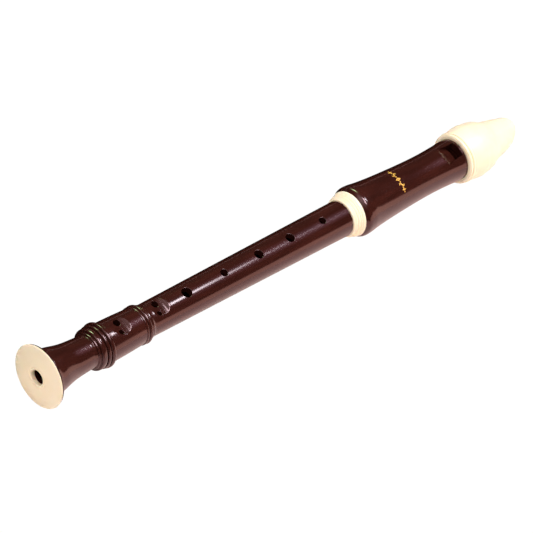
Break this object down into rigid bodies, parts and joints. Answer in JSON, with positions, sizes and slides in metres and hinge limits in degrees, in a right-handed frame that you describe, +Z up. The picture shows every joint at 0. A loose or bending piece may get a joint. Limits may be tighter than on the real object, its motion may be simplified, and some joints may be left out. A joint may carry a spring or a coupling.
{
  "type": "soprano recorder",
  "caption": "Baroque-style soprano recorder lying on its side: belled foot, finger-hole tube and head with window and beak, on push-fit joints that turn and pull apart.",
  "frame": {"origin": "below the middle of the length, on the plane that the bell's rim rests on", "axes": "+X along the bore from the bell to the beak, +Z up through the finger holes, +Y to the large hole of each pair"},
  "size_m": [0.3274, 0.0332, 0.0332],
  "materials": {
    "brown_body": "polished dark brown ABS",
    "cream_trim": "satin cream ABS",
    "cork": "greased sheet cork"
  },
  "bodies": {
    "middle_joint": {"middle_tube": "brown_body"},
    "lower_cork_sleeve": {"lower_tenon_cork": "cork"},
    "foot_joint": {"foot_tube": "brown_body", "bell_ring": "cream_trim"},
    "upper_cork_sleeve": {"upper_tenon_cork": "cork"},
    "head_joint": {"head_barrel": "brown_body", "head_ferrule": "cream_trim", "windway_block": "brown_body", "mouthpiece_beak": "cream_trim"}
  },
  "joints": [
    {"name": "foot_twist", "type": "hinge", "parent": "middle_joint", "child": "lower_cork_sleeve", "pos_m": [-0.1035, 0, 0.0166], "axis": [1, 0, 0], "continuous": true},
    {"name": "foot_pull", "type": "slide", "parent": "lower_cork_sleeve", "child": "foot_joint", "axis": [-1, 0, 0], "range_m": [0, 0.016]},
    {"name": "head_twist", "type": "hinge", "parent": "middle_joint", "child": "upper_cork_sleeve", "pos_m": [0.051, 0, 0.0166], "axis": [1, 0, 0], "continuous": true},
    {"name": "head_pull", "type": "slide", "parent": "upper_cork_sleeve", "child": "head_joint", "axis": [1, 0, 0], "range_m": [0, 0.026]}
  ]
}
